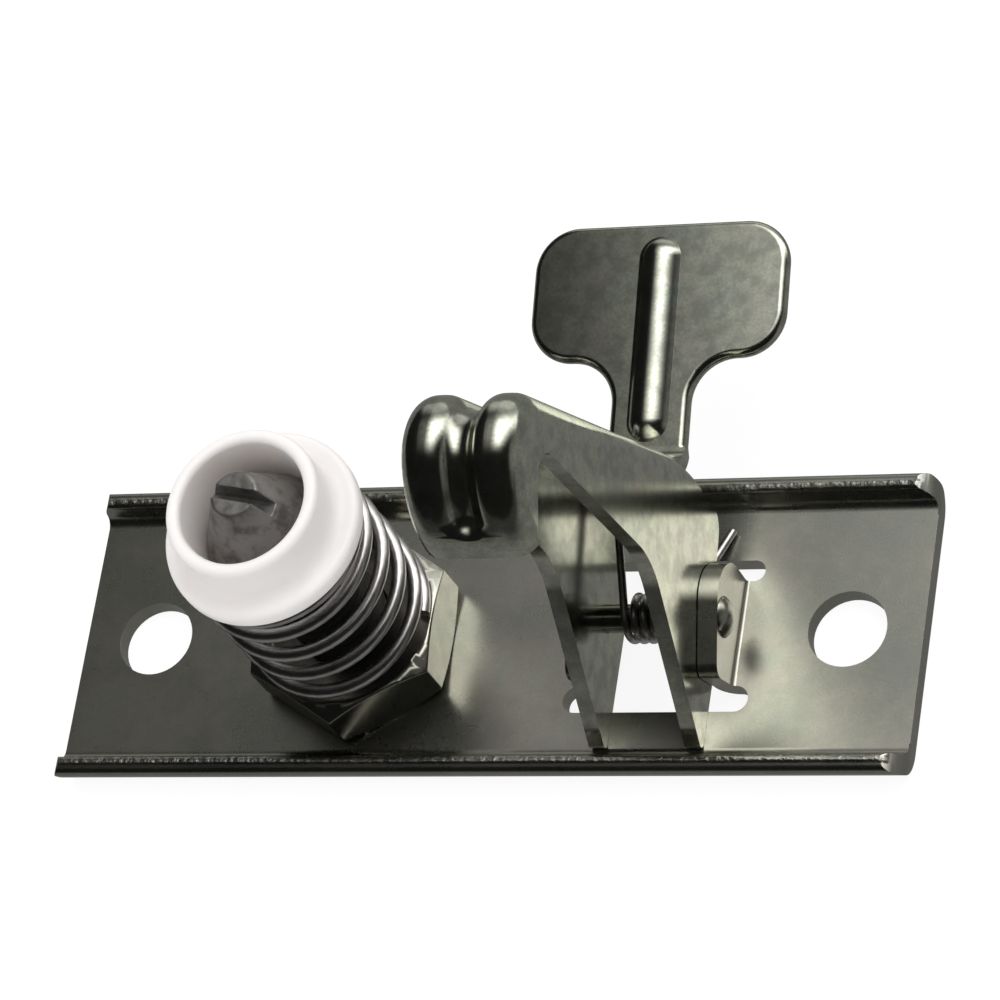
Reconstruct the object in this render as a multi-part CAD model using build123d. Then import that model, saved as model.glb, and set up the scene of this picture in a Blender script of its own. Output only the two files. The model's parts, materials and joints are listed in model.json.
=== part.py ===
"""Upper half of a sprung hood latch: base plate, safety hook and striker.

Frame: X along the plate, Y across it towards the finger handle, Z out of the plate's face.
The origin is on the plate's back face, midway between the two mounting holes. Millimetres.
"""
import os
from math import asin, cos, degrees, radians, sin, tan

from build123d import *

# Base plate
plate_length = 112.0
plate_width = 40.0
plate_sheet = 2.5
flange_rise = 4.95          # plate's back face to the flange's outer lip
flange_lean = 17.0          # degrees outwards from upright
flange_bend = 1.5           # inside radius
flange_corner_right = 4.2
flange_corner_left = 1.8
mount_inset = 9.7           # mounting hole to the nearer end of the plate
mount_hole = 10.0

# Window and the two lugs bent up from its ends
window_near = -10.8
window_far = 9.4
lug_near = -7.4
lug_far = 6.6
lug_shoulder = 8.05         # height of the lug's lower corner
lug_slope = 21.0            # degrees, top edge
lug_flare = 1.2             # how far the near side leans out at the shoulder
lug_corner = 1.8
lug_crown = 5.0
lug_bend = 0.5              # inside radius
notch_past_fold = 1.7

# Safety hook, one bent sheet
hook_inset = 33.2           # hook's middle to the plate's right end
hook_width = 14.4
hook_sheet = 2.0
side_bend = 2.8             # outside radius between a cheek and the web, nose or beak
nose_y = -0.17              # where the web's outer face runs into the nose
nose_z = 66.4
nose_bend = 7.36            # outside radius
nose_turn = 103.4           # degrees
beak_bend = 13.2
beak_turn = 56.6
brow_y = -5.5               # corner between a cheek's near edge and the beak's flank
brow_z = 64.9
brow_round = 3.0
flank_fall = 22.8           # degrees below level, lower edge of the flank
groove_depth = 1.9
groove_half = 3.6           # middle of the groove to the top of a ridge
groove_round = 2.0          # at the bottom
groove_tail = 8.0           # on the web, below the nose
groove_stop = 5.9           # before the beak's free edge
root_y = 15.2               # middle of the sheet, where the web meets the handle
root_z = 15.7
root_bend = 3.5
web_lean = 17.95            # degrees from upright
handle_slope = 10.2         # degrees above level
handle_reach = 31.6
knee_z = 22.7               # below it the cheeks' far edge is upright
knee_y = 13.0
toe_y = -16.4
heel_y = 0.6
heel_round = 3.0
arm_y = 4.6
arm_z = 6.3
elbow_y = -2.0              # the near edge's obtuse corner
elbow_z = 27.3
elbow_round = 14.0
toe_round = 0.8
foot_gap = 0.03
stem_width = 10.2
stem_lap = 1.0              # stem above the knee, into the web
grip_width = 33.2
grip_depth = 17.4
grip_corner = 5.6
grip_neck = 5.6             # largest fillet between stem and grip
bead_width = 5.4
bead_rise = 1.5
bead_stop = 1.8             # bead's end to the grip's far edge
bead_sink = 0.01            # into the sheet

# Pivot pin, headed over outside both lugs
pivot_y = -0.95
pivot_z = 8.4
pivot_pin = 3.5
pivot_play = 0.05
pin_seat = 0.01
pivot_head = 5.2
pivot_head_height = 1.3
lug_gap = 0.1               # each side of the hook

# Torsion spring round the pivot pin
return_wire = 1.0
leg_bend = 3.0
return_coil = 6.3           # outside diameter
return_left = -2.0          # ends of the coil, from the hook's middle
return_right = 3.4
return_loops = 5
return_leg_angle = 23.2     # degrees above level, leg behind the web
plate_leg_x = 7.3           # from the hook's middle
plate_leg_y = 13.2
leg_gap = 0.05

# Striker pin and its lock nut
striker_inset = 39.0        # striker's axis to the plate's left end
striker_y = -1.0
striker_shank = 12.0
thread_gap = 0.02
pin_chamfer = 1.0
nut_flats = 24.0
nut_height = 7.5
nut_chamfer = 30.0          # degrees
striker_head = 15.4
striker_seat = 33.6         # underside of the head
striker_band = 1.2
striker_tip = 5.8
striker_tip_z = 44.9
tip_round = 0.6
slot_width = 1.7
slot_depth = 3.0
slot_turn = -10.0

# Spring cup
cup_flange = 25.2
cup_flange_top = 36.7
cup_flange_thick = 2.3
cup_boss = 19.6
cup_rim_z = 43.0
cup_bore = 16.0
cup_play = 0.08
cup_seat_gap = 0.02
cup_guide = 18.4
cup_guide_depth = 5.0
cup_edge_round = 0.9
cup_lip_round = 0.85
cup_root_round = 1.6

# Compression spring under the cup
coil_outer = 24.0
coil_wire = 1.8
coil_turns = 3.5            # open ones
coil_end_turns = 0.8        # at each end
coil_end_pitch = 2.0
coil_gap = 0.03

mount_x = plate_length / 2 - mount_inset
striker_x = striker_inset - plate_length / 2
hook_centre = plate_length / 2 - hook_inset
hook_left = hook_centre - hook_width / 2
hook_right = hook_centre + hook_width / 2
lug_face = hook_width / 2 + lug_gap + plate_sheet
fold = lug_face + lug_bend
lean_run = tan(radians(web_lean))
nut_top = plate_sheet + nut_height
cup_under = cup_flange_top - cup_flange_thick


def along_y(sketch, start, width):
    """Extrude an (x, z) sketch along +Y from start."""
    return extrude(Plane((0, start + width, 0), x_dir=(1, 0, 0), z_dir=(0, -1, 0)) * sketch, width)


def rod(diameter, start, end):
    """Straight round bar between two points."""
    start, end = Vector(*start), Vector(*end)
    return extrude(Plane(start, z_dir=end - start) * Circle(diameter / 2), (end - start).length)


def turned(points):
    """Revolve an (r, z) outline round the striker's axis."""
    outline = Plane.XZ * make_face(Polyline(*points, close=True))
    return revolve(outline, Axis.Z)


def at_striker(solid):
    """Move a turned solid to the striker's place."""
    return Pos(striker_x, striker_y, 0) * solid


def near(vertices, x, y):
    """Vertices of a flat outline that lie at a point."""
    return [v for v in vertices if abs(v.X - x) < 0.01 and abs(v.Y - y) < 0.01]


def flanged_sheet():
    """Plate with both long edges turned up and their corners rounded."""
    lean = radians(flange_lean)
    half = plate_width / 2
    lip_y = half - plate_sheet * cos(lean)
    lip_z = flange_rise + plate_sheet * sin(lean)
    foot_y = lip_y - (lip_z - plate_sheet) * tan(lean)
    heel = half - flange_rise * tan(lean)
    right = [(heel, 0), (half, flange_rise), (lip_y, lip_z), (foot_y, plate_sheet)]
    profile = make_face(Polyline(*right, *[(-y, z) for y, z in reversed(right)], close=True))
    for side in (1, -1):
        profile = fillet(near(profile.vertices(), side * heel, 0), flange_bend + plate_sheet)
        profile = fillet(near(profile.vertices(), side * foot_y, plate_sheet), flange_bend)
    sheet = extrude(Plane.YZ.offset(-plate_length / 2) * profile, plate_length)
    flat = foot_y - flange_bend
    for end, radius in ((1, flange_corner_right), (-1, flange_corner_left)):
        centre = Pos(end * (plate_length / 2 - radius), lip_z - radius)
        corner = Pos(end * radius, radius) * Rectangle(2 * radius, 2 * radius) - Circle(radius)
        for start in (flat, -half - 1):
            sheet -= along_y(centre * corner, start, half + 1 - flat)
    return sheet


def window():
    """Opening between the lugs' fold lines, with a rounded notch beside each lug."""
    opening = Pos(0, (window_near + window_far) / 2) * Rectangle(2 * fold, window_far - window_near)
    for low, high in ((window_near, lug_near), (lug_far, window_far)):
        width = high - low
        length = 2 * (fold + notch_past_fold)
        opening += Pos(0, (low + high) / 2) * SlotOverall(length, width)
    return extrude(opening, plate_sheet * 3, both=True)


def lug():
    """Round-topped ear bent up from the window's right end, measured from the hook's middle."""
    inner = lug_face - plate_sheet
    apex = lug_shoulder + tan(radians(lug_slope)) * (lug_far - lug_near + lug_flare)
    bent = make_face(Polyline((fold + plate_sheet, 0), (fold + plate_sheet, plate_sheet),
                              (lug_face, plate_sheet), (lug_face, apex), (inner, apex), (inner, 0),
                              close=True))
    bent = fillet(near(bent.vertices(), lug_face, plate_sheet), lug_bend)
    bent = fillet(near(bent.vertices(), inner, 0), lug_bend + plate_sheet)
    ear = make_face(Polyline((lug_near, -1), (lug_near, plate_sheet), (lug_near - lug_flare, lug_shoulder),
                             (lug_far, apex), (lug_far, -1), close=True))
    ear = fillet(near(ear.vertices(), lug_near - lug_flare, lug_shoulder), lug_corner)
    ear = fillet(near(ear.vertices(), lug_far, apex), lug_crown)
    sheet = along_y(bent, lug_near - lug_flare - 1, lug_far - lug_near + lug_flare + 2)
    return sheet & extrude(Plane.YZ.offset(inner - 1) * ear, plate_sheet * 4)


def base_plate():
    """The stamped plate with its flanges, window, lugs and holes."""
    plate = flanged_sheet() - Pos(hook_centre, 0, 0) * window()
    plate += Pos(hook_centre, 0, 0) * lug()
    plate += Pos(hook_centre, 0, 0) * mirror(lug(), about=Plane.YZ)
    for side in (1, -1):
        plate -= Pos(side * mount_x, 0, 0) * Cylinder(mount_hole / 2, plate_sheet * 3)
    plate -= at_striker(Cylinder(striker_shank / 2 + thread_gap, plate_sheet * 3))
    reach = lug_face + 1
    pin_hole = rod(pivot_pin + 2 * pin_seat, (hook_centre - reach, pivot_y, pivot_z),
                   (hook_centre + reach, pivot_y, pivot_z))
    return plate - pin_hole


def outer_line(inset=0.0):
    """Web, nose and beak on the side view (y, z), some way inside the sheet's outer face."""
    lean = radians(web_lean)
    top = Vector(nose_y - inset * cos(lean), nose_z - inset * sin(lean))
    web = Line((top.X + (top.Y - knee_z) * lean_run, knee_z), top)
    nose = JernArc(top, web % 1, nose_bend - inset, nose_turn)
    return web, nose, JernArc(nose @ 1, nose % 1, beak_bend - inset, beak_turn)


def from_side(point, x):
    """Put a point or direction of the side view at a place on X."""
    return Vector(x, point.X, point.Y)


def handle_plane(lift=0.0):
    """Plane on the handle: x across, y from the root to the grip, z up."""
    rise = radians(handle_slope)
    up = Vector(0, -sin(rise), cos(rise))
    return Plane(Vector(hook_centre, root_y, root_z) + up * lift, x_dir=(1, 0, 0), z_dir=up)


def handle_outline():
    """T-shaped outline of the finger handle with rounded corners."""
    grip_middle = handle_reach - grip_depth / 2
    grip = Pos(0, grip_middle) * RectangleRounded(grip_width, grip_depth, grip_corner)
    stem_start = -root_bend * 3
    stem_length = grip_middle - stem_start
    shape = grip + Pos(0, stem_start + stem_length / 2) * Rectangle(stem_width, stem_length)
    neck = handle_reach - grip_depth
    corners = [v for side in (1, -1) for v in near(shape.vertices(), side * stem_width / 2, neck)]
    overhang = (grip_width - stem_width) / 2
    return fillet(corners, min(grip_neck, overhang - grip_corner))


def bent_handle():
    """Stem and T-shaped handle, cut from one bent strip."""
    rise = radians(handle_slope)
    high = knee_z + stem_lap
    top = (root_y - (high + stem_lap - root_z) * lean_run, high + stem_lap)
    end = (root_y + handle_reach * cos(rise), root_z + handle_reach * sin(rise))
    path = FilletPolyline(top, (root_y, root_z), end, radius=root_bend)
    strip = extrude(Plane.YZ.offset(hook_centre - grip_width) * trace(path, hook_sheet), 2 * grip_width)
    stem = Pos(hook_centre, root_y, high / 2) * Box(stem_width, 4 * root_bend, high)
    handle = extrude(handle_plane() * handle_outline(), 2 * hook_sheet, both=True)
    below = Pos(hook_centre, 2 * root_y, knee_z / 2) * Box(2 * grip_width, 4 * root_y, 4 * knee_z)
    return (strip & stem) + (strip & handle & below)


def ridge(rise, width, start, stop):
    """Long low mound with rounded ends along Y, between two distances from the origin."""
    radius = (width ** 2 / 4 + rise ** 2) / (2 * rise)
    straight = stop - start - width
    section = Pos(0, 0, rise - radius) * Rot(90, 0, 0) * Cylinder(radius, straight)
    mound = Pos(0, (start + stop) / 2, 0) * section
    for end in (start + width / 2, stop - width / 2):
        mound += Pos(0, end, rise - radius) * Sphere(radius)
    middle = Pos(0, (start + stop) / 2, rise / 2) * Box(2 * width, 2 * (stop - start), rise)
    return mound & middle


def side_face():
    """Outline of one side of the hook: cheek, and the beak's flank."""
    foot = plate_sheet + foot_gap
    arm_end_z = arm_z + (knee_y - arm_y) * tan(radians(handle_slope))
    line = outer_line()
    tip = line[2] @ 1
    flank_y = tip.X + hook_sheet
    flank_z = brow_z - (brow_y - flank_y) * tan(radians(flank_fall))
    corners = [(brow_y, brow_z), (elbow_y, elbow_z), (toe_y, foot), (heel_y, foot), (arm_y, arm_z),
               (knee_y, arm_end_z)]
    rim = Polyline(tip, (flank_y, tip.Y), (flank_y, flank_z), *corners, (knee_y, knee_z), line[0] @ 0)
    face = make_face([edge for curve in (*line, rim) for edge in curve.edges()])
    for corner, radius in zip(corners, (brow_round, elbow_round, toe_round) + (heel_round,) * 3):
        face = fillet(near(face.vertices(), *corner), radius)
    return face


def hollow_face():
    """Side view of the space inside the web, nose and beak, open towards the near side."""
    line = outer_line(hook_sheet)
    start, tip = line[0] @ 0, line[2] @ 1
    far = start.X + 2 * hook_sheet
    rim = Polyline(tip, (tip.X, elbow_z), (2 * toe_y, elbow_z), (2 * toe_y, 0), (far, 0),
                   (far, start.Y), start)
    return make_face([edge for curve in (*line, rim) for edge in curve.edges()])


def rounded_sides(solid, inset, radius):
    """Fillet a solid's long edges beside the web, nose and beak."""
    marks = [from_side(curve @ 0.5, hook_centre + side * (hook_width / 2 - inset))
             for curve in outer_line(inset) for side in (1, -1)]
    long_edges = [e for e in solid.edges() if any((e @ 0.5 - mark).length < 0.05 for mark in marks)]
    return fillet(long_edges, radius)


def groove_half_section():
    """Right half of the groove: round bottom running out into a round ridge."""
    reach = (groove_half ** 2 + groove_depth ** 2) / (2 * groove_depth)
    steepest = degrees(asin(groove_half / reach))
    bottom = JernArc((0, -groove_depth), (1, 0), groove_round, steepest)
    crest = JernArc(bottom @ 1, bottom % 1, reach - groove_round, -steepest)
    rim = Polyline(crest @ 1, (groove_half, groove_depth), (0, groove_depth), (0, -groove_depth))
    return make_face([edge for curve in (bottom, crest, rim) for edge in curve.edges()])


def along_groove(half):
    """Carry a half section down the web, over the nose and along the beak, and close both ends."""
    web, nose, beak = outer_line()
    kept = beak_turn - degrees(groove_stop / beak_bend)
    stop = JernArc(beak @ 0, beak % 0, beak_bend, kept)
    section = half + mirror(half, about=Plane.YZ)

    def stand(point, heading):
        return Plane(from_side(point, hook_centre), x_dir=(1, 0, 0), z_dir=from_side(heading, 0))

    first = stand(web @ 1 - (web % 1) * groove_tail, web % 1)
    last = stand(stop @ 1, stop % 1)
    solid = extrude(first * section, groove_tail)
    for arc, turn in ((nose, nose_turn), (stop, kept)):
        axis = Axis(from_side(arc.arc_center, hook_centre), (1, 0, 0))
        solid += revolve(stand(arc @ 0, arc % 0) * section, axis, turn)
    for end in (first, last):
        solid += revolve(end * half, Axis(end.origin, end.y_dir))
    return solid


def safety_hook():
    """The whole stamping: cheeks, web, grooved beak and T-shaped handle."""
    block = extrude(Plane.YZ.offset(hook_left) * side_face(), hook_width)
    block = rounded_sides(block, 0, side_bend)
    inner_width = hook_width - 2 * hook_sheet
    hollow = extrude(Plane.YZ.offset(hook_left + hook_sheet) * hollow_face(), inner_width)
    hollow = rounded_sides(hollow, hook_sheet, side_bend - hook_sheet)
    back = groove_round + hook_sheet
    back_half = Pos(0, groove_round - groove_depth) * Circle(back)
    back_half &= Pos(back, 0) * Rectangle(2 * back, 4 * back)
    hook = block - along_groove(groove_half_section()) - (hollow - along_groove(back_half))
    hook += bent_handle()
    bead = ridge(bead_rise, bead_width, root_bend, handle_reach - bead_stop)
    hook += handle_plane(hook_sheet / 2 - bead_sink).location * bead
    bore = rod(pivot_pin + 2 * pivot_play, (hook_left - 1, pivot_y, pivot_z),
               (hook_right + 1, pivot_y, pivot_z))
    return hook - bore


def pivot_pin_solid():
    """Pin between the lugs with a domed head at each end."""
    dome = (pivot_head ** 2 / 4 + pivot_head_height ** 2) / (2 * pivot_head_height)
    pin = rod(pivot_pin, (hook_centre - lug_face, pivot_y, pivot_z),
              (hook_centre + lug_face, pivot_y, pivot_z))
    head = Pos(lug_face + pivot_head_height - dome, 0, 0) * Sphere(dome)
    head &= Pos(lug_face + pivot_head_height / 2, 0, 0) * Box(pivot_head_height, pivot_head, pivot_head)
    for cap in (head, mirror(head, about=Plane.YZ)):
        pin += Pos(hook_centre, pivot_y, pivot_z) * cap
    return pin


def torsion_spring():
    """Close coil on the pivot pin with one leg behind the web and one on the plate."""
    length = return_right - return_left
    turns = return_loops - (180 + return_leg_angle) / 360
    coil = Helix(length / turns, length, (return_coil - return_wire) / 2)
    coil = Rot(0, 90, 0) * Rot(0, 0, 180 + return_leg_angle) * coil
    coil = Pos(hook_centre + return_left, pivot_y, pivot_z) * coil
    start, leave = coil @ 0, coil % 0 * -1
    behind = (hook_sheet / 2 + return_wire / 2 + leg_gap) / cos(radians(web_lean))
    web_y = root_y - behind + (root_z - start.Z) * lean_run
    tip = start + leave * ((web_y - start.Y) / (leave.Y + leave.Z * lean_run))
    end, out = coil @ 1, coil % 1
    bearing = Vector(hook_centre + plate_leg_x, plate_leg_y, plate_sheet + return_wire / 2 + leg_gap)
    plate_leg = FilletPolyline(end, end + out * leg_bend, bearing, radius=leg_bend)
    path = Wire([Line(tip, start).edge(), coil.edge(), *plate_leg.edges()])
    return sweep(Plane(tip, z_dir=leave * -1) * Circle(return_wire / 2), path)


def lock_nut():
    """Hexagon nut with both faces chamfered at the corners."""
    hexagon = RegularPolygon(nut_flats / 2, 6, major_radius=False)
    if hexagon.bounding_box().size.X > hexagon.bounding_box().size.Y:
        hexagon = Rot(0, 0, 30) * hexagon
    nut = Pos(0, 0, plate_sheet) * extrude(hexagon, nut_height)
    corner = nut_flats / 2 / cos(radians(30))
    edge = nut_flats / 2 * 0.98
    fall = (corner - edge) * tan(radians(nut_chamfer))
    nut &= turned([(0, plate_sheet), (edge, plate_sheet), (corner, plate_sheet + fall),
                   (corner, nut_top - fall), (edge, nut_top), (0, nut_top)])
    return at_striker(nut - Pos(0, 0, nut_top) * Cylinder(striker_shank / 2 + thread_gap, 3 * nut_height))


def striker_pin():
    """Threaded shank with a conical head and a screwdriver slot across its tip."""
    shank = striker_shank / 2
    head = striker_head / 2
    tip = striker_tip / 2
    pin = turned([(0, 0), (shank - pin_chamfer, 0), (shank, pin_chamfer), (shank, striker_seat),
                  (head, striker_seat), (head, striker_seat + striker_band),
                  (tip, striker_tip_z - tip_round), (tip - tip_round, striker_tip_z), (0, striker_tip_z)])
    slot = Pos(0, 0, striker_tip_z) * Rot(0, 0, slot_turn) * Box(striker_head, slot_width, 2 * slot_depth)
    return at_striker(pin - slot)


def spring_cup():
    """Moulded cup: guide on the shank, flange for the coil, raised lip round the recess."""
    bore = striker_shank / 2 + cup_play
    recess = cup_bore / 2
    flange = cup_flange / 2
    boss = cup_boss / 2
    guide = cup_guide / 2
    floor_z = striker_seat - cup_seat_gap
    foot_z = cup_under - cup_guide_depth
    points = [(bore, foot_z), (guide, foot_z), (guide, cup_under), (flange, cup_under),
              (flange, cup_flange_top), (boss, cup_flange_top), (boss, cup_rim_z), (recess, cup_rim_z),
              (recess, floor_z), (bore, floor_z)]
    outline = make_face(Polyline(*points, close=True))
    for point, radius in (((flange, cup_flange_top), cup_edge_round), ((boss, cup_rim_z), cup_lip_round),
                          ((recess, cup_rim_z), cup_lip_round), ((boss, cup_flange_top), cup_root_round)):
        outline = fillet(near(outline.vertices(), *point), radius)
    return at_striker(revolve(Plane.XZ * outline, Axis.Z))


def striker_spring():
    """Coil between the nut and the cup's flange, open in the middle and close at both ends."""
    radius = (coil_outer - coil_wire) / 2
    height = nut_top + coil_wire / 2 + coil_gap
    high = cup_under - coil_wire / 2 - coil_gap
    open_pitch = (high - height - 2 * coil_end_turns * coil_end_pitch) / coil_turns
    turned_by = 0
    pieces = []
    for pitch, turns in ((coil_end_pitch, coil_end_turns), (open_pitch, coil_turns),
                         (coil_end_pitch, coil_end_turns)):
        piece = Pos(0, 0, height) * Rot(0, 0, 360 * turned_by) * Helix(pitch, pitch * turns, radius)
        pieces.append(piece.edge())
        height += pitch * turns
        turned_by += turns
    path = Wire(pieces)
    profile = Plane(path @ 0, z_dir=path % 0) * Circle(coil_wire / 2)
    return at_striker(sweep(profile, path, is_frenet=True))


PARTS = {
    "base_plate": base_plate,
    "safety_hook": safety_hook,
    "pivot_pin": pivot_pin_solid,
    "torsion_spring": torsion_spring,
    "lock_nut": lock_nut,
    "striker_pin": striker_pin,
    "spring_cup": spring_cup,
    "striker_spring": striker_spring,
}

os.makedirs("parts", exist_ok=True)
for name, make in PARTS.items():
    export_step(make(), f"parts/{name}.step")
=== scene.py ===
"""Upper half of a sprung hood latch: its finishes, its modelled pieces and the photo studio.

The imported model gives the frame, in metres: X along the plate, Y across it towards the finger
handle, Z out of the plate's face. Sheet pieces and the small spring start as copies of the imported
solids and get worked edges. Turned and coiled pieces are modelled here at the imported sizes.
"""
import json
import logging
import math
from collections.abc import Callable, Iterator, Sequence
from contextlib import contextmanager
from dataclasses import dataclass
from enum import Enum

import bpy
from mathutils import Matrix, Vector

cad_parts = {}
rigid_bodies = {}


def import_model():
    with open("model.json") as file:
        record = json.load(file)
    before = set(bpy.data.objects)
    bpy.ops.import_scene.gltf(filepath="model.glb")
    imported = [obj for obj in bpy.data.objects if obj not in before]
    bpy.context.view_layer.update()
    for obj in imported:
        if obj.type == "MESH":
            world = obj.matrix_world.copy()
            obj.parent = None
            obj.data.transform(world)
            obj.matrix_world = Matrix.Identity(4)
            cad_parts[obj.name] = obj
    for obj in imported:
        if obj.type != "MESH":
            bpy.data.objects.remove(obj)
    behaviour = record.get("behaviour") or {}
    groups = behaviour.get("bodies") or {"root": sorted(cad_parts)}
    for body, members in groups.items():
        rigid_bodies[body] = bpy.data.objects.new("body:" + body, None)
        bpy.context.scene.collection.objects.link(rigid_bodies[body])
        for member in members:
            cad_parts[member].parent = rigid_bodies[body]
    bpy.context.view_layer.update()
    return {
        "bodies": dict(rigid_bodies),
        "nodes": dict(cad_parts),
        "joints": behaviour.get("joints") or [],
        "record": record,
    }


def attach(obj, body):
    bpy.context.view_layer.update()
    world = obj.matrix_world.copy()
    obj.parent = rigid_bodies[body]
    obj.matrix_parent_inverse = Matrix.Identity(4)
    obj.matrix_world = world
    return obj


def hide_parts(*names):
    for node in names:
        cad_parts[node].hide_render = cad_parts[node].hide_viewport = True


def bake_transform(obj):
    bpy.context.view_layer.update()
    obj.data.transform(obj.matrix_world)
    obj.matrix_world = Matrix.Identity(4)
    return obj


MM = 0.001
LOG = logging.getLogger("latch")
Point = tuple[float, float, float]
Colour = tuple[float, float, float, float]


class Body(Enum):
    """Moving bodies of the latch."""

    PLATE = "plate"
    HOOK = "hook"
    CUP = "cup"


class Slot(Enum):
    """Material slots of the record."""

    SHEET = "plated_sheet"
    HOOK = "plated_hook"
    PIN = "plated_pin"
    NUT = "plated_nut"
    WIRE = "spring_wire"
    TURNED = "turned_steel"
    NYLON = "nylon"


class Signal:
    """Output of a shader node that takes part in Python arithmetic."""

    def __init__(self, graph: "Graph", socket: bpy.types.NodeSocket) -> None:
        """Wrap a socket of a graph."""
        self.graph = graph
        self.socket = socket

    def _math(self, operation: str, first: "Signal | float", second: "Signal | float") -> "Signal":
        """Add a Math node on two values."""
        return self.graph.node("ShaderNodeMath", {"operation": operation}, {0: first, 1: second})

    def __add__(self, other: "Signal | float") -> "Signal":
        """Sum."""
        return self._math("ADD", self, other)

    def __radd__(self, other: float) -> "Signal":
        """Sum with a number on the left."""
        return self._math("ADD", other, self)

    def __sub__(self, other: "Signal | float") -> "Signal":
        """Difference."""
        return self._math("SUBTRACT", self, other)

    def __rsub__(self, other: float) -> "Signal":
        """Difference from a number on the left."""
        return self._math("SUBTRACT", other, self)

    def __mul__(self, other: "Signal | float") -> "Signal":
        """Product."""
        return self._math("MULTIPLY", self, other)

    def __rmul__(self, other: float) -> "Signal":
        """Product with a number on the left."""
        return self._math("MULTIPLY", other, self)

    def between(self, low: float, high: float) -> "Signal":
        """Smooth step from 0 at low to 1 at high."""
        sockets = {"Value": self, "From Min": low, "From Max": high}
        return self.graph.node("ShaderNodeMapRange", {"interpolation_type": "SMOOTHSTEP"}, sockets)


class Graph:
    """Node tree of a material or world."""

    def __init__(self, owner: bpy.types.Material | bpy.types.World) -> None:
        """Empty the owner's node tree."""
        owner.use_nodes = True
        self.tree = owner.node_tree
        self.tree.nodes.clear()

    def node(self, kind: str, settings: dict | None = None, sockets: dict | None = None,
             output: int | str = 0) -> "Signal | None":
        """Add a node.

        Args:
            kind: Blender's type name of the node.
            settings: properties set before the sockets; "stops" are a colour ramp's stops.
            sockets: values or signals by input name or number.
            output: name or number of the output that is handed back.

        Returns:
            The chosen output, or None for a node without outputs.
        """
        made = self.tree.nodes.new(kind)
        for key, value in (settings or {}).items():
            if key == "stops":
                self._set_stops(made.color_ramp, value)
            else:
                setattr(made, key, value)
        for key, value in (sockets or {}).items():
            if isinstance(value, Signal):
                self.tree.links.new(value.socket, made.inputs[key])
            else:
                made.inputs[key].default_value = value
        return Signal(self, made.outputs[output]) if made.outputs else None

    @staticmethod
    def _set_stops(ramp: bpy.types.ColorRamp, stops: Sequence[tuple[float, Colour]]) -> None:
        """Give a ramp its stops, each a place and a colour."""
        while len(ramp.elements) < len(stops):
            ramp.elements.new(1.0)
        for element, (place, colour) in zip(ramp.elements, stops):
            element.position = place
            element.color = colour

    def place(self, at: Point = (0.0, 0.0, 0.0), turn: Point = (0.0, 0.0, 0.0),
              stretch: Point = (1.0, 1.0, 1.0)) -> Signal:
        """Object coordinates, centred, turned and stretched for a pattern.

        Args:
            at: point that becomes the pattern's origin, in metres.
            turn: turn about each axis, in degrees.
            stretch: scale along each axis.

        Returns:
            The coordinates.
        """
        coords = self.node("ShaderNodeTexCoord", output="Object")
        moved = self.node("ShaderNodeVectorMath", {"operation": "SUBTRACT"}, {0: coords, 1: at})
        angles = tuple(math.radians(angle) for angle in turn)
        return self.node("ShaderNodeMapping", {"vector_type": "POINT"},
                         {"Vector": moved, "Rotation": angles, "Scale": stretch})

    def noise(self, coords: Signal, size: float, detail: float = 3.0, rough: float = 0.5) -> Signal:
        """Noise with features of about a given size, in metres."""
        return self.node("ShaderNodeTexNoise", {}, {"Vector": coords, "Scale": 1.0 / size,
                                                    "Detail": detail, "Roughness": rough}, "Fac")

    def ramp(self, value: Signal, stops: Sequence[tuple[float, Colour]]) -> Signal:
        """Colour ramp of a value."""
        return self.node("ShaderNodeValToRGB", {"stops": stops}, {"Fac": value}, "Color")

    def part(self, coords: Signal, axis: str) -> Signal:
        """X, Y or Z part of coordinates."""
        return self.node("ShaderNodeSeparateXYZ", {}, {0: coords}, axis)

    def mix(self, factor: Signal | float, first: Signal | Colour,
            second: Signal | Colour) -> Signal:
        """Blend two colours."""
        return self.node("ShaderNodeMix", {"data_type": "RGBA"},
                         {0: factor, 6: first, 7: second}, 2)

    def bump(self, height: Signal, depth: float, under: Signal | None = None) -> Signal:
        """Bump of a depth in metres, on top of another."""
        sockets = {"Height": height, "Distance": depth, "Strength": 1.0}
        if under is not None:
            sockets["Normal"] = under
        return self.node("ShaderNodeBump", {}, sockets)

    def surface(self, shader: Signal) -> None:
        """Put a shader on the material."""
        self.node("ShaderNodeOutputMaterial", {}, {"Surface": shader})


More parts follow.
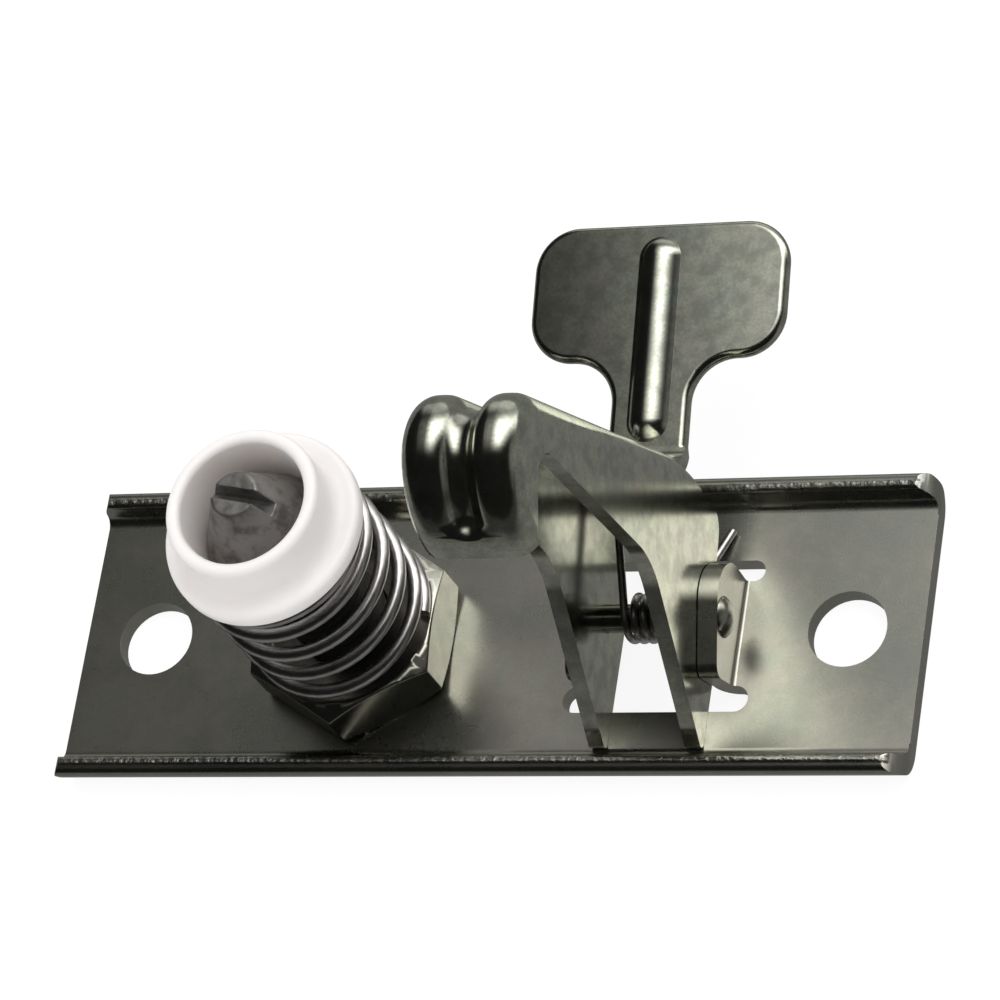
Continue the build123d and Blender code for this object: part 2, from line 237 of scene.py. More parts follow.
@dataclass(frozen=True)
class BrightZinc:
    """Bright zinc plate: a mirror-like coat with a clouded, faintly coloured film."""

    name: str
    metal: Colour
    film: Colour
    film_share: float
    roughness: float
    tint: Colour = (0.60, 0.52, 0.45, 1.0)
    tint_deep: Colour = (0.46, 0.56, 0.45, 1.0)
    patch: Colour = (0.27, 0.28, 0.25, 1.0)
    speck: Colour = (0.30, 0.30, 0.28, 1.0)
    clouds: float = 11 * MM
    waviness: float = 0.05 * MM
    patches: float = 0.45
    crown_rise: float = 0.0
    crown_middle: Point = (22.8 * MM, 0.0, 0.0)
    crown_reach: float = 15 * MM
    lip_side: float = 0.0
    lip_rise: float = 4.7 * MM
    burr_size: float = 0.9 * MM
    burr_depth: float = 0.16 * MM
    scratch_angles: tuple[float, ...] = (8.0, 62.0, 118.0)

    def scratches(self, graph: Graph) -> Signal:
        """Fine scattered scratches in a few directions."""
        total = None
        for turn in self.scratch_angles:
            coords = graph.place(turn=(0.0, 0.0, turn), stretch=(1.0, 26.0, 26.0))
            streak = graph.noise(coords, 16 * MM, 2.0, 0.6).between(0.74, 0.80)
            total = streak if total is None else total + streak
        return total.between(0.0, 1.0)

    def crown(self, graph: Graph) -> Signal:
        """Faint arch of the sheet across its middle line."""
        middle = graph.place(at=self.crown_middle)
        share = graph.part(middle, "X") * (1.0 / self.crown_reach)
        return graph.bump(1.0 - share * share, self.crown_rise)

    def sheared(self, graph: Graph) -> Signal:
        """Height of the small burrs on the flanges' sheared lips."""
        coords = graph.place()
        across = graph.part(coords, "Y")
        rise = graph.part(coords, "Z")
        out = graph.node("ShaderNodeMath", {"operation": "ABSOLUTE"}, {0: across})
        lip = out.between(self.lip_side, self.lip_side + 0.2 * MM)
        lip = lip * (1.0 - out.between(self.lip_side + 1.4 * MM, self.lip_side + 1.9 * MM))
        lip = lip * rise.between(self.lip_rise, self.lip_rise + 0.3 * MM)
        return graph.noise(coords, self.burr_size, 2.0) * lip

    def material(self) -> bpy.types.Material:
        """Make the material."""
        material = bpy.data.materials.new(self.name)
        graph = Graph(material)
        coords = graph.place()
        cloud = graph.noise(coords, self.clouds, 5.0, 0.62)
        mottle = graph.noise(coords, 2.4 * MM, 4.0, 0.6)
        grain = graph.noise(coords, 0.35 * MM, 2.0)
        scratch = self.scratches(graph)
        film = graph.ramp(cloud, ((0.30, self.metal), (0.45, self.film),
                                  (0.58, self.tint), (0.72, self.tint_deep)))
        colour = graph.mix(self.film_share, self.metal, film)
        shade = mottle.between(0.35, 0.68) * self.patches
        colour = graph.mix(shade, colour, self.patch)
        colour = graph.mix(grain.between(0.35, 0.7) * 0.3, colour, self.speck)
        roughness = self.roughness + cloud * 0.07 + mottle * 0.05 + scratch * 0.10
        wave = graph.bump(graph.noise(coords, 16 * MM, 1.0), self.waviness,
                          self.crown(graph) if self.crown_rise else None)
        skin = graph.bump(mottle, 0.002 * MM, wave)
        skin = graph.bump(grain - scratch * 0.8, 0.0012 * MM, skin)
        if self.lip_side:
            skin = graph.bump(self.sheared(graph), self.burr_depth, skin)
        shader = graph.node("ShaderNodeBsdfPrincipled", {}, {
            "Base Color": colour, "Metallic": 1.0, "Roughness": roughness, "Normal": skin})
        graph.surface(shader)
        return material


@dataclass(frozen=True)
class Nylon:
    """Off-white moulded nylon, faintly uneven."""

    name: str = "nylon"
    colour: Colour = (0.88, 0.85, 0.835, 1.0)
    shadow: Colour = (0.80, 0.76, 0.74, 1.0)

    def material(self) -> bpy.types.Material:
        """Make the material."""
        material = bpy.data.materials.new(self.name)
        graph = Graph(material)
        coords = graph.place()
        cloud = graph.noise(coords, 6 * MM, 4.0)
        skin = graph.noise(coords, 0.5 * MM, 3.0)
        colour = graph.mix(cloud.between(0.45, 0.8) * 0.5, self.colour, self.shadow)
        roughness = 0.42 + skin * 0.12
        normal = graph.bump(skin, 0.006 * MM, graph.bump(cloud, 0.03 * MM))
        shader = graph.node("ShaderNodeBsdfPrincipled", {}, {
            "Base Color": colour, "Roughness": roughness, "Normal": normal, "IOR": 1.53,
            "Subsurface Weight": 0.35, "Subsurface Radius": (1.0, 0.85, 0.75),
            "Subsurface Scale": 2.0 * MM})
        graph.surface(shader)
        return material


@dataclass(frozen=True)
class SpringWire:
    """Drawn spring wire with a dull plated skin."""

    name: str = "spring_wire"
    colour: Colour = (0.62, 0.60, 0.60, 1.0)
    dark: Colour = (0.32, 0.30, 0.30, 1.0)

    def material(self) -> bpy.types.Material:
        """Make the material."""
        material = bpy.data.materials.new(self.name)
        graph = Graph(material)
        coords = graph.place()
        patch = graph.noise(coords, 3 * MM, 4.0)
        grain = graph.noise(coords, 0.25 * MM, 2.0)
        colour = graph.mix(patch.between(0.45, 0.75) * 0.7, self.colour, self.dark)
        normal = graph.bump(grain, 0.004 * MM)
        shader = graph.node("ShaderNodeBsdfPrincipled", {}, {
            "Base Color": colour, "Metallic": 1.0, "Roughness": 0.26 + grain * 0.1,
            "Normal": normal})
        graph.surface(shader)
        return material


@dataclass(frozen=True)
class TurnedSteel:
    """Dull turned steel with fine tool rings round an upright axis, painted near-black below a height
    as shade inside the coil.
    """

    axis: Point
    name: str = "turned_steel"
    colour: Colour = (0.30, 0.29, 0.28, 1.0)
    stain: Colour = (0.15, 0.14, 0.135, 1.0)
    # Painted shade: a near-black colour and the height below which the pin gets it, standing for the
    # shade inside the coil and under the cup.
    shade_paint: Colour = (0.035, 0.033, 0.031, 1.0)
    shade_paint_below: float = 33.0 * MM

    def material(self) -> bpy.types.Material:
        """Make the material."""
        material = bpy.data.materials.new(self.name)
        graph = Graph(material)
        coords = graph.place(at=self.axis)
        flat = graph.node("ShaderNodeVectorMath", {"operation": "MULTIPLY"},
                          {0: coords, 1: (1.0, 1.0, 0.0)})
        radius = graph.node("ShaderNodeVectorMath", {"operation": "LENGTH"}, {0: flat}, "Value")
        rings = graph.node("ShaderNodeTexNoise", {"noise_dimensions": "1D"},
                           {"W": radius * (1.0 / (0.22 * MM)), "Scale": 1.0, "Detail": 2.0}, "Fac")
        stains = graph.noise(coords, 2.2 * MM, 5.0, 0.6)
        colour = graph.mix(stains.between(0.42, 0.72), self.colour, self.stain)
        # Painted shade: below the set height the pin's colour turns near-black, for the shade inside
        # the coil and under the cup.
        height = graph.part(coords, "Z")
        above_shade_paint = height.between(self.shade_paint_below - 1 * MM, self.shade_paint_below)
        colour = graph.mix(above_shade_paint, self.shade_paint, colour)
        normal = graph.bump(rings, 0.012 * MM, graph.bump(stains, 0.02 * MM))
        shader = graph.node("ShaderNodeBsdfPrincipled", {}, {
            "Base Color": colour, "Metallic": 0.85, "Roughness": 0.42 + stains * 0.16,
            "Normal": normal})
        graph.surface(shader)
        return material


@dataclass(frozen=True)
class Corner:
    """Corner of an outline, rounded to a radius."""

    x: float
    y: float
    radius: float = 0.0


def rounded(corners: Sequence[Corner], steps: int = 7,
            closed: bool = True) -> list[tuple[float, float]]:
    """Outline points with an arc at each rounded corner.

    Args:
        corners: the outline's corners in order.
        steps: pieces in each arc.
        closed: whether the last corner joins the first.

    Returns:
        The points in order.
    """
    points = []
    for index, corner in enumerate(corners):
        here = Vector((corner.x, corner.y))
        if corner.radius == 0.0 or (not closed and index in (0, len(corners) - 1)):
            points.append((here.x, here.y))
            continue
        before = corners[index - 1]
        after = corners[(index + 1) % len(corners)]
        back = (Vector((before.x, before.y)) - here).normalized()
        ahead = (Vector((after.x, after.y)) - here).normalized()
        half = back.angle(ahead) / 2
        centre = here + (back + ahead).normalized() * (corner.radius / math.sin(half))
        start = here + back * (corner.radius / math.tan(half)) - centre
        end = here + ahead * (corner.radius / math.tan(half)) - centre
        sweep = start.angle_signed(end)
        for step in range(steps + 1):
            spoke = Vector(start)
            spoke.rotate(Matrix.Rotation(-sweep * step / steps, 2))
            points.append((centre.x + spoke.x, centre.y + spoke.y))
    return points


def clear_selection() -> None:
    """Deselect every object."""
    bpy.ops.object.select_all(action="DESELECT")


def pick(piece: bpy.types.Object) -> None:
    """Make one object the only selected one and the active one."""
    clear_selection()
    piece.select_set(True)
    bpy.context.view_layer.objects.active = piece


@contextmanager
def editing(piece: bpy.types.Object, mode: str = "VERT") -> Iterator[None]:
    """Edit mode on one piece, with everything in it selected."""
    pick(piece)
    bpy.ops.object.mode_set(mode="EDIT")
    bpy.ops.mesh.select_mode(type=mode)
    bpy.ops.mesh.select_all(action="SELECT")
    yield
    bpy.ops.object.mode_set(mode="OBJECT")


def apply_modifier(piece: bpy.types.Object, kind: str, **settings: object) -> None:
    """Add a modifier with its settings and apply it."""
    modifier = piece.modifiers.new(kind.lower(), kind)
    for key, value in settings.items():
        setattr(modifier, key, value)
    pick(piece)
    bpy.ops.object.modifier_apply(modifier=modifier.name)


def smooth(piece: bpy.types.Object, angle: float = 35.0) -> None:
    """Smooth shading that keeps edges sharper than an angle, in degrees."""
    pick(piece)
    bpy.ops.object.shade_smooth_by_angle(angle=math.radians(angle))


def outline_loop(name: str, points: Sequence[Point], filled: bool = False) -> bpy.types.Object:
    """Closed loop through points, started as a circle with as many corners.

    Args:
        name: name of the new object.
        points: places of the corners, in metres.
        filled: whether the loop gets a face.

    Returns:
        The new object, selected and active.
    """
    clear_selection()
    bpy.ops.mesh.primitive_circle_add(vertices=len(points), radius=MM,
                                      fill_type="NGON" if filled else "NOTHING")
    piece = bpy.context.object
    piece.name = name
    for corner, place in zip(piece.data.vertices, points):
        corner.co = place
    return piece


def spun(name: str, profile: Sequence[tuple[float, float]], axis: Point, steps: int = 96,
         open_at_axis: bool = False) -> bpy.types.Object:
    """Spin a closed (radius, height) profile round an upright axis.

    Args:
        name: name of the new object.
        profile: radius and height of each point, in metres.
        axis: a point on the axis.
        steps: pieces round the turn.
        open_at_axis: whether the edge from the last point to the first lies on the axis.

    Returns:
        The spun piece, its doubles merged and its faces outwards.
    """
    x, y, _ = axis
    piece = outline_loop(name, [(x + radius, y, height) for radius, height in profile])
    if open_at_axis:
        with editing(piece, "EDGE"):
            bpy.ops.mesh.select_all(action="DESELECT")
            bpy.ops.object.mode_set(mode="OBJECT")
            last = {0, len(profile) - 1}
            for edge in piece.data.edges:
                edge.select = set(edge.vertices) == last
            bpy.ops.object.mode_set(mode="EDIT")
            bpy.ops.mesh.delete(type="EDGE")
    with editing(piece):
        bpy.ops.mesh.spin(steps=steps, angle=2 * math.pi, center=(x, y, 0.0), axis=(0.0, 0.0, 1.0))
        bpy.ops.mesh.select_all(action="SELECT")
        bpy.ops.mesh.remove_doubles(threshold=0.001 * MM)
        bpy.ops.mesh.normals_make_consistent(inside=False)
    return piece


def bench_copy(node: bpy.types.Object, name: str) -> bpy.types.Object:
    """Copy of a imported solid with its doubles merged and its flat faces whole."""
    copy = bpy.data.objects.new(name, node.data.copy())
    bpy.context.scene.collection.objects.link(copy)
    copy.data.transform(node.matrix_world)
    copy.data.materials.clear()
    with editing(copy):
        bpy.ops.mesh.remove_doubles(threshold=0.002 * MM)
        bpy.ops.mesh.dissolve_limited(angle_limit=math.radians(0.4))
    return copy


def soften_edges(piece: bpy.types.Object, width: float, angle: float = 34.0,
                 merge: float = 0.03 * MM, clamp: bool = False) -> None:
    """Round a piece's sharp edges and keep its flat faces flat in the shading.

    Args:
        piece: the piece.
        width: how far the rounding reaches from an edge, in metres.
        angle: the least angle of a sharp edge, in degrees.
        merge: corners nearer than this are joined first, in metres.
        clamp: whether the rounding is held back where faces are narrow.
    """
    with editing(piece):
        bpy.ops.mesh.remove_doubles(threshold=merge)
        bpy.ops.mesh.dissolve_degenerate(threshold=0.01 * MM)
    apply_modifier(piece, "BEVEL", limit_method="ANGLE", angle_limit=math.radians(angle),
                   width=width, segments=3, profile=0.6, use_clamp_overlap=clamp)
    smooth(piece)
    apply_modifier(piece, "WEIGHTED_NORMAL", keep_sharp=True, weight=100)


def round_over(piece: bpy.types.Object, chosen: Callable[[Vector], bool], width: float,
               angle: float = 34.0) -> None:
    """Round some of a piece's sharp edges generously.

    Args:
        piece: the piece.
        chosen: says of a point whether an edge with both its ends there is rounded.
        width: how far the rounding reaches from the edge, in metres.
        angle: the least angle of a sharp edge, in degrees.
    """
    with editing(piece, "EDGE"):
        bpy.ops.mesh.select_all(action="DESELECT")
        bpy.ops.mesh.edges_select_sharp(sharpness=math.radians(angle))
        bpy.ops.object.mode_set(mode="OBJECT")
        mesh = piece.data
        sharp = [edge.index for edge in mesh.edges if edge.select]
        for items in (mesh.vertices, mesh.edges, mesh.polygons):
            items.foreach_set("select", [False] * len(items))
        for index in sharp:
            ends = mesh.edges[index].vertices
            mesh.edges[index].select = all(chosen(mesh.vertices[end].co) for end in ends)
        bpy.ops.object.mode_set(mode="EDIT")
        bpy.ops.mesh.bevel(offset=width, segments=5, profile=0.5, affect="EDGES")


def dress(piece: bpy.types.Object, body: Body, slot: Slot, material: bpy.types.Material,
          *nodes: str) -> bpy.types.Object:
    """Give a piece its finish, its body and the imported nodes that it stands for."""
    piece.data.materials.clear()
    piece.data.materials.append(material)
    if piece.data.name != piece.name:
        piece.data.name = piece.name
    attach(piece, body.value)
    if nodes:
        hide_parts(*nodes)
    LOG.info("%s: %d faces", piece.name, len(piece.data.polygons))
    return piece


def dress_spring(piece: bpy.types.Object, material: bpy.types.Material, node: str) -> bpy.types.Object:
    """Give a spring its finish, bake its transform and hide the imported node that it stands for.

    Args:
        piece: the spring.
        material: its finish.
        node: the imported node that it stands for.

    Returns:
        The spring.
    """
    piece.data.materials.clear()
    piece.data.materials.append(material)
    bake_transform(piece)
    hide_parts(node)
    LOG.info("%s: %d faces", piece.name, len(piece.data.polygons))
    return piece


@dataclass
class SheetParts:
    """The two stampings: base plate and safety hook."""

    frame: dict
    edge: float = 0.16 * MM
    smallest: float = 0.12 * MM
    lip_corner: Point = (0.0, 17.6 * MM, 5.65 * MM)
    lip_lean: float = 16.6
    lip_width: float = 2.5 * MM
    lip_round: float = 1.0 * MM
    lip_half: float = 57.0 * MM
    handle_side: float = 17.5 * MM
    handle_middle: float = 22.8 * MM
    bead_clear: float = 4.2 * MM
    handle_round: float = 0.9 * MM

    def lip_cutter(self, side: float) -> bpy.types.Object:
        """Cutter that leaves the lip of one flange round.

        Args:
            side: 1 for the far flange and -1 for the near one.

        Returns:
            The cutter, as long as the plate.
        """
        lean = math.radians(self.lip_lean)
        outwards = Vector((0.0, math.cos(lean), -math.sin(lean)))
        down = Vector((0.0, -math.sin(lean), -math.cos(lean)))
        clear = 0.005 * MM
        reach = 1.3 * MM
        corners = [Corner(-clear, reach), Corner(-clear, 0.0, self.lip_round),
                   Corner(self.lip_width + clear, 0.0, self.lip_round),
                   Corner(self.lip_width + clear, reach), Corner(self.lip_width + reach, reach),
                   Corner(self.lip_width + reach, -reach), Corner(-reach, -reach),
                   Corner(-reach, reach)]
        places = []
        for along, deep in rounded(corners):
            place = Vector(self.lip_corner) + outwards * along + down * deep
            places.append((-self.lip_half, side * place.y, place.z))
        cutter = outline_loop("lip_cutter", places, filled=True)
        with editing(cutter):
            bpy.ops.mesh.extrude_region_move(
                TRANSFORM_OT_translate={"value": (2 * self.lip_half, 0.0, 0.0)})
            bpy.ops.mesh.select_all(action="SELECT")
            bpy.ops.mesh.normals_make_consistent(inside=False)
        return cutter

    def base_plate(self, material: bpy.types.Material) -> bpy.types.Object:
        """Plate with worked edges."""
        piece = bench_copy(self.frame["nodes"]["base_plate"], "plate_pressing")
        for side in (1.0, -1.0):
            cutter = self.lip_cutter(side)
            apply_modifier(piece, "BOOLEAN", object=cutter, operation="DIFFERENCE", solver="EXACT")
            bpy.data.objects.remove(cutter)
        soften_edges(piece, self.edge, merge=self.smallest, clamp=True)
        return dress(piece, Body.PLATE, Slot.SHEET, material, "base_plate")

    def safety_hook(self, material: bpy.types.Material) -> bpy.types.Object:
        """Hook with worked edges."""
        piece = bench_copy(self.frame["nodes"]["safety_hook"], "hook_pressing")
        round_over(piece, lambda point: point.y > self.handle_side
                   and abs(point.x - self.handle_middle) > self.bead_clear, self.handle_round)
        soften_edges(piece, self.edge, merge=self.smallest, clamp=True)
        return dress(piece, Body.HOOK, Slot.HOOK, material, "safety_hook")


@dataclass
class PivotParts:
    """Pivot pin and torsion spring."""

    frame: dict
    coil_left: float = 20.8 * MM
    coil_right: float = 26.2 * MM

    def pivot_pin(self, material: bpy.types.Material) -> bpy.types.Object:
        """Headed pin with softened rims."""
        piece = bench_copy(self.frame["nodes"]["pivot_pin"], "pivot_rivet")
        soften_edges(piece, 0.12 * MM)
        return dress(piece, Body.PLATE, Slot.PIN, material, "pivot_pin")

    def torsion_spring(self, material: bpy.types.Material) -> bpy.types.Object:
        """Small coil copied from the imported solid, with softened edges."""
        piece = bench_copy(self.frame["nodes"]["torsion_spring"], "return_coil")
        soften_edges(piece, 0.08 * MM)
        return dress_spring(piece, material, "torsion_spring")


@dataclass
class Striker:
    """Striker pin, lock nut, coil and spring cup on one upright axis."""

    frame: dict
    axis: Point = (-17.0 * MM, -1.0 * MM, 0.0)
    shank: float = 12.0 * MM
    pitch: float = 1.75 * MM
    thread_depth: float = 0.85 * MM
    thread_low: float = 0.9 * MM
    thread_turns: int = 15
    seat: float = 33.6 * MM
    head: float = 15.4 * MM
    band: float = 1.2 * MM
    tip: float = 5.8 * MM
    tip_top: float = 44.9 * MM
    foot_round: float = 0.3 * MM
    head_round: float = 0.2 * MM
    band_round: float = 0.35 * MM
    tip_round: float = 0.5 * MM
    slot_width: float = 1.7 * MM
    slot_depth: float = 3.0 * MM
    slot_turn: float = -10.0
    nut_high: float = 10.0 * MM
    flange: float = 25.2 * MM
    flange_top: float = 36.7 * MM
    flange_under: float = 34.4 * MM
    boss: float = 19.6 * MM
    rim: float = 43.0 * MM
    bore: float = 16.0 * MM
    guide: float = 18.4 * MM
    guide_foot: float = 29.4 * MM
    cup_play: float = 0.08 * MM
    cup_seat_gap: float = 0.02 * MM
    cup_edge_round: float = 0.5 * MM
    flange_round: float = 0.9 * MM
    boss_root: float = 1.6 * MM
    rim_round: float = 0.85 * MM
    wire: float = 1.8 * MM
    coil: float = 24.0 * MM
    open_turns: float = 3.5
    end_turns: float = 0.8
    end_pitch: float = 2.0 * MM

    def cup(self, material: bpy.types.Material) -> bpy.types.Object:
        """Spring cup with a lip round its recess."""
        inner = self.shank / 2 + self.cup_play
        floor = self.seat - self.cup_seat_gap
        corners = [Corner(inner, self.guide_foot),
                   Corner(self.guide / 2, self.guide_foot, self.cup_edge_round),
                   Corner(self.guide / 2, self.flange_under),
                   Corner(self.flange / 2, self.flange_under, self.cup_edge_round),
                   Corner(self.flange / 2, self.flange_top, self.flange_round),
                   Corner(self.boss / 2, self.flange_top, self.boss_root),
                   Corner(self.boss / 2, self.rim, self.rim_round),
                   Corner(self.bore / 2, self.rim, self.rim_round),
                   Corner(self.bore / 2, floor), Corner(inner, floor)]
        piece = spun("spring_seat", rounded(corners), self.axis)
        smooth(piece)
        return dress(piece, Body.CUP, Slot.NYLON, material, "spring_cup")

    def pin(self, material: bpy.types.Material) -> bpy.types.Object:
        """Striker pin with its conical tip and screwdriver slot."""
        shank = self.shank / 2
        root = shank - self.thread_depth
        thread_top = self.thread_low + (self.thread_turns + 0.5) * self.pitch
        corners = [Corner(0.0, 0.0), Corner(root, 0.0, self.foot_round), Corner(root, thread_top),
                   Corner(shank, thread_top + self.thread_depth), Corner(shank, self.seat),
                   Corner(self.head / 2, self.seat, self.head_round),
                   Corner(self.head / 2, self.seat + self.band, self.band_round),
                   Corner(self.tip / 2, self.tip_top, self.tip_round),
                   Corner(0.0, self.tip_top)]
        piece = spun("striker_core", rounded(corners, closed=False), self.axis, open_at_axis=True)
        clear_selection()
        x, y, _ = self.axis
        bpy.ops.mesh.primitive_cube_add(size=1.0, location=(x, y, self.tip_top),
                                        rotation=(0.0, 0.0, math.radians(self.slot_turn)),
                                        scale=(self.head, self.slot_width, 2 * self.slot_depth))
        cutter = bpy.context.object
        apply_modifier(piece, "BOOLEAN", object=cutter, operation="DIFFERENCE", solver="EXACT")
        bpy.data.objects.remove(cutter)
        soften_edges(piece, 0.15 * MM, 50.0)
        ridge = self.thread()
        pick(piece)
        ridge.select_set(True)
        bpy.ops.object.join()
        smooth(piece, 40.0)
        return dress(piece, Body.PLATE, Slot.TURNED, material, "striker_pin")

    def thread(self) -> bpy.types.Object:
        """Helical ridge of the thread, its foot sunk in the shank and both its ends closed."""
        crest = self.shank / 2
        root = crest - self.thread_depth
        sunk = root - 0.1 * MM
        profile = ((sunk, 0.0), (root, 0.0), (crest, 0.40),
                   (crest, 0.52), (root, 0.92), (sunk, 0.92))
        ridge = outline_loop("thread", [(radius, 0.0, self.thread_low + share * self.pitch)
                                        for radius, share in profile])
        apply_modifier(ridge, "SCREW", axis="Z", angle=2 * math.pi, screw_offset=self.pitch,
                       iterations=self.thread_turns, steps=48, render_steps=48)
        with editing(ridge):
            bpy.ops.mesh.fill_holes(sides=len(profile))
            bpy.ops.mesh.normals_make_consistent(inside=False)
            bpy.ops.transform.translate(value=self.axis)
        return ridge

    def nut(self, material: bpy.types.Material) -> bpy.types.Object:
        """Hexagon nut with chamfered corners."""
        piece = bench_copy(self.frame["nodes"]["lock_nut"], "hex_nut")
        soften_edges(piece, 0.18 * MM, 30.0)
        return dress(piece, Body.PLATE, Slot.NUT, material, "lock_nut")

    def spring(self, material: bpy.types.Material) -> bpy.types.Object:
        """Compression coil between the nut and the cup, close at both ends."""
        radius = (self.coil - self.wire) / 2
        gap = 0.03 * MM
        low = self.nut_high + self.wire / 2 + gap
        high = self.flange_under - self.wire / 2 - gap
        x, y, _ = self.axis
        all_turns = self.open_turns + 2 * self.end_turns
        open_pitch = (high - low - 2 * self.end_turns * self.end_pitch) / self.open_turns
        count = round(all_turns * 48)
        curve = bpy.data.curves.new("striker_coil", "CURVE")
        curve.dimensions = "3D"
        curve.bevel_depth = self.wire / 2
        curve.bevel_resolution = 6
        curve.use_fill_caps = True
        path = curve.splines.new("POLY")
        path.points.add(count)
        for index, knot in enumerate(path.points):
            turn = all_turns * index / count
            opened = min(max(turn - self.end_turns, 0.0), self.open_turns)
            angle = 2 * math.pi * turn
            knot.co = (x + radius * math.cos(angle), y + radius * math.sin(angle),
                       low + opened * open_pitch + (turn - opened) * self.end_pitch, 1.0)
        coil = bpy.data.objects.new("striker_coil", curve)
        bpy.context.scene.collection.objects.link(coil)
        pick(coil)
        bpy.ops.object.convert(target="MESH")
        piece = bpy.context.object
        with editing(piece):
            bpy.ops.mesh.remove_doubles(threshold=0.001 * MM)
            bpy.ops.mesh.normals_make_consistent(inside=False)
        smooth(piece, 50.0)
        return dress_spring(piece, material, "striker_spring")


@dataclass(frozen=True)
class SoftBox:
    """Area lamp: its name, place, two sides and radiance."""

    name: str
    place: Point
    size: tuple[float, float]
    radiance: float


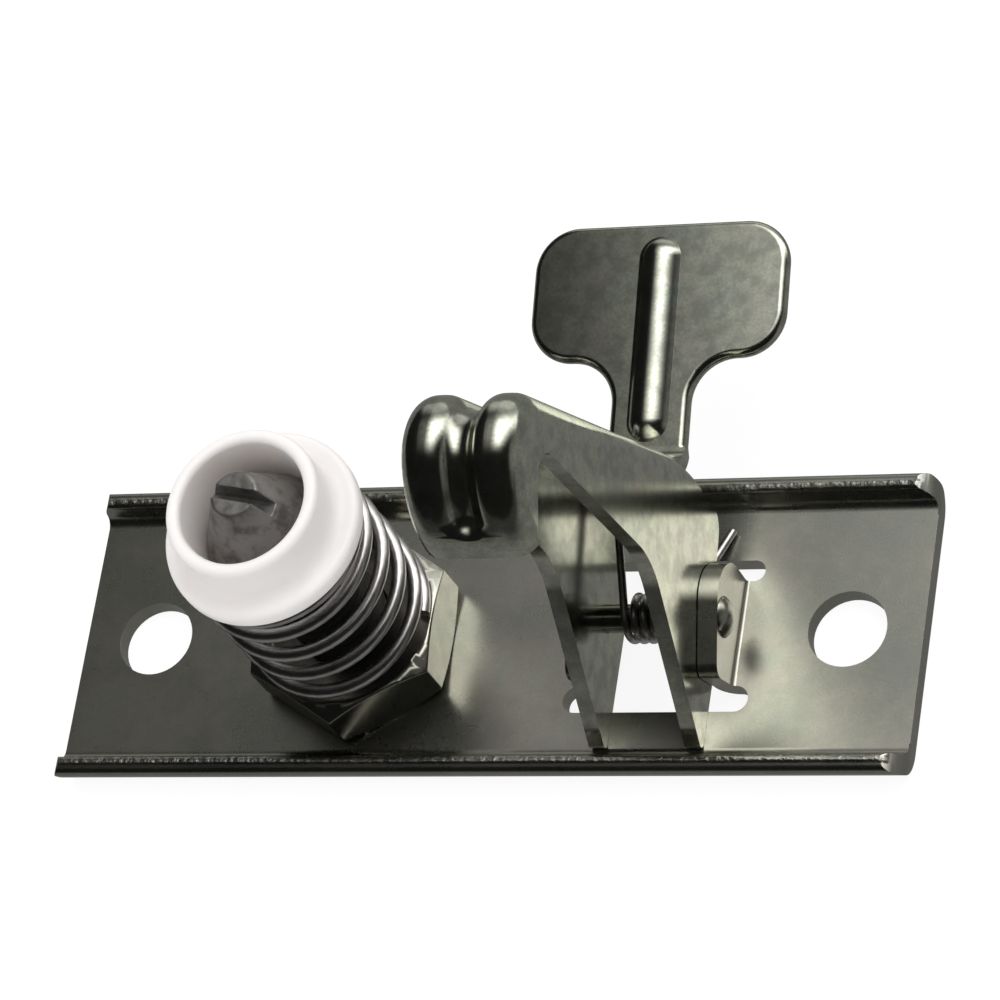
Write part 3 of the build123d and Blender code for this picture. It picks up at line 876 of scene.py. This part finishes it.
@dataclass
class Studio:
    """Camera, pale floor and soft boxes, with a tent and a floor card that only the metal sees."""

    eye: Point = (246.1 * MM, -253.7 * MM, 546.3 * MM)
    right: Point = (0.9202, 0.1527, -0.3604)
    up: Point = (0.0222, 0.8989, 0.4375)
    back: Point = (0.3908, -0.4106, 0.8238)
    lens: float = 188.2
    shift: tuple[float, float] = (0.0745, 0.0103)
    ambient: float = 0.80
    floor_size: float = 6.0
    floor_colour: Colour = (0.80, 0.80, 0.80, 1.0)
    floor_glow: float = 1.12
    floor_share: float = 0.8
    card_tint: Colour = (1.0, 1.0, 0.97, 1.0)
    tent_size: float = 2.2
    tent_dark: float = 0.012
    tent_back: float = 0.7
    card_grey: float = 0.22
    card_front: float = 0.05
    card_near: tuple[float, float] = (-0.24, -0.05)
    panel_glow: float = 3.5
    panel_slant: float = 0.6
    panel_pivot: float = 0.45
    panel_left: tuple[float, float] = (-0.48, 0.36)
    panel_right: tuple[float, float] = (0.40, 1.0)
    panel_near: tuple[float, float] = (-0.30, 0.30)
    panel_far: tuple[float, float] = (0.55, 0.90)
    back_far: tuple[float, float] = (0.78, 0.96)
    back_right: tuple[float, float] = (0.85, 1.0)
    boxes: tuple[SoftBox, ...] = (
        SoftBox("key_box", (0.30, 0.36, 0.75), (0.60, 0.52), 2.5),
        SoftBox("top_box", (-0.31, -0.12, 0.78), (0.26, 0.36), 2.6))

    def camera(self) -> None:
        """Camera at the photograph's viewing angle."""
        data = bpy.data.cameras.new("camera")
        data.sensor_width = 36.0
        data.lens = self.lens
        data.shift_x, data.shift_y = self.shift
        data.clip_start = 0.01
        camera = bpy.data.objects.new("camera", data)
        bpy.context.scene.collection.objects.link(camera)
        turn = Matrix((self.right, self.up, self.back)).transposed()
        camera.matrix_world = Matrix.Translation(self.eye) @ turn.to_4x4()
        bpy.context.scene.camera = camera

    def world(self) -> None:
        """White background, and soft light from all round."""
        world = bpy.data.worlds.new("studio")
        bpy.context.scene.world = world
        graph = Graph(world)
        strength = self.ambient + self.seen(graph) * (1.0 - self.ambient)
        light = graph.node("ShaderNodeBackground", {}, {
            "Color": (1.0, 1.0, 1.0, 1.0), "Strength": strength})
        graph.node("ShaderNodeOutputWorld", {}, {"Surface": light})

    @staticmethod
    def seen(graph: Graph) -> Signal:
        """1 for camera, glossy and transmission rays, and 0 for the rest."""
        rays = [graph.node("ShaderNodeLightPath", output=name)
                for name in ("Is Camera Ray", "Is Glossy Ray", "Is Transmission Ray")]
        return (rays[0] + rays[1] + rays[2]).between(0.0, 1.0)

    def floor(self) -> None:
        """Pale floor that keeps the latch's shadow."""
        clear_selection()
        bpy.ops.mesh.primitive_plane_add(size=self.floor_size, location=(0.0, 0.0, -0.05 * MM))
        floor = bpy.context.object
        floor.name = "floor"
        material = bpy.data.materials.new("pale_floor")
        graph = Graph(material)
        lit = graph.node("ShaderNodeBsdfDiffuse", {}, {"Color": self.floor_colour})
        glow = graph.node("ShaderNodeEmission", {}, {
            "Color": (1.0, 1.0, 1.0, 1.0), "Strength": self.floor_glow})
        share = self.seen(graph) * self.floor_share
        graph.surface(graph.node("ShaderNodeMixShader", {}, {0: share, 1: lit, 2: glow}))
        floor.data.materials.append(material)

    @staticmethod
    def aim(thing: bpy.types.Object, place: Point, target: Point = (0.0, 0.0, 20 * MM)) -> None:
        """Put a thing at a place with its minus Z towards a target."""
        thing.location = place
        thing.rotation_euler = (Vector(target) - Vector(place)).to_track_quat("-Z", "Y").to_euler()

    def soft_box(self, box: SoftBox) -> None:
        """Hang a soft box, aimed at the latch and left out of the metal's reflections."""
        data = bpy.data.lights.new(box.name, "AREA")
        data.shape = "RECTANGLE"
        data.size, data.size_y = box.size
        data.energy = box.radiance * math.pi * box.size[0] * box.size[1]
        lamp = bpy.data.objects.new(box.name, data)
        bpy.context.scene.collection.objects.link(lamp)
        lamp.visible_glossy = False
        self.aim(lamp, box.place)

    @staticmethod
    def reflected_only(card: bpy.types.Object) -> None:
        """Hide a card of the studio from all but the metal's reflections."""
        for ray in ("camera", "diffuse", "transmission", "volume_scatter", "shadow"):
            setattr(card, f"visible_{ray}", False)

    def tent(self) -> None:
        """Dark light tent with one wide soft panel overhead, which the metal mirrors."""
        clear_selection()
        bpy.ops.mesh.primitive_uv_sphere_add(segments=64, ring_count=32, radius=self.tent_size)
        tent = bpy.context.object
        tent.name = "tent"
        material = bpy.data.materials.new("tent_cloth")
        graph = Graph(material)
        along = graph.part(graph.place(), "X") * (1 / self.tent_size)
        across = graph.part(graph.place(), "Y") * (1 / self.tent_size)
        slanted = along + (self.panel_pivot - across) * self.panel_slant
        panel = along.between(*self.panel_left) * (1.0 - slanted.between(*self.panel_right))
        panel = panel * across.between(*self.panel_near) * (1.0 - across.between(*self.panel_far))
        edge = across.between(*self.back_far) + along.between(*self.back_right) * 0.3
        strength = self.tent_dark + panel * self.panel_glow + edge * self.tent_back
        graph.surface(graph.node("ShaderNodeEmission", {}, {
            "Color": self.card_tint, "Strength": strength}))
        tent.data.materials.append(material)
        self.reflected_only(tent)

    def floor_card(self) -> None:
        """Grey card on the floor, darker in front, that shows only in the metal."""
        clear_selection()
        bpy.ops.mesh.primitive_plane_add(size=2 * self.tent_size, location=(0.0, 0.0, -0.02 * MM))
        card = bpy.context.object
        card.name = "floor_card"
        material = bpy.data.materials.new("card")
        graph = Graph(material)
        across = graph.part(graph.place(), "Y")
        near = across.between(*self.card_near)
        strength = self.card_front + near * (self.card_grey - self.card_front)
        graph.surface(graph.node("ShaderNodeEmission", {}, {
            "Color": self.card_tint, "Strength": strength}))
        card.data.materials.append(material)
        self.reflected_only(card)

    def build(self) -> None:
        """Set up the whole studio."""
        scene = bpy.context.scene
        scene.view_settings.view_transform = "Standard"
        self.camera()
        self.world()
        self.floor()
        self.tent()
        for box in self.boxes:
            self.soft_box(box)
        self.floor_card()


def main() -> None:
    """Build the latch and its studio, and report each piece."""
    logging.basicConfig(level=logging.INFO, format="%(message)s")
    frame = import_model()
    Studio().build()
    zinc = BrightZinc("zinc_sheet", (0.36, 0.37, 0.34, 1.0), (0.43, 0.415, 0.34, 1.0), 0.35, 0.22,
                      patches=0.22, lip_side=16.9 * MM)
    hook_zinc = BrightZinc("zinc_hook", (0.56, 0.63, 0.55, 1.0), (0.68, 0.65, 0.50, 1.0), 0.5, 0.11,
                           patches=0.6, clouds=7 * MM, waviness=0.03 * MM, crown_rise=0.28 * MM)
    sheets = SheetParts(frame)
    sheets.base_plate(zinc.material())
    sheets.safety_hook(hook_zinc.material())
    small_zinc = BrightZinc("zinc_small", (0.37, 0.375, 0.34, 1.0), (0.48, 0.46, 0.36, 1.0),
                            0.4, 0.16, clouds=4 * MM, waviness=0.02 * MM).material()
    wire = SpringWire().material()
    pivot = PivotParts(frame)
    pivot.pivot_pin(small_zinc)
    pivot.torsion_spring(wire)
    striker = Striker(frame)
    striker.nut(small_zinc)
    striker.pin(TurnedSteel(striker.axis).material())
    striker.cup(Nylon().material())
    striker.spring(wire)


if __name__ == "__main__":
    main()
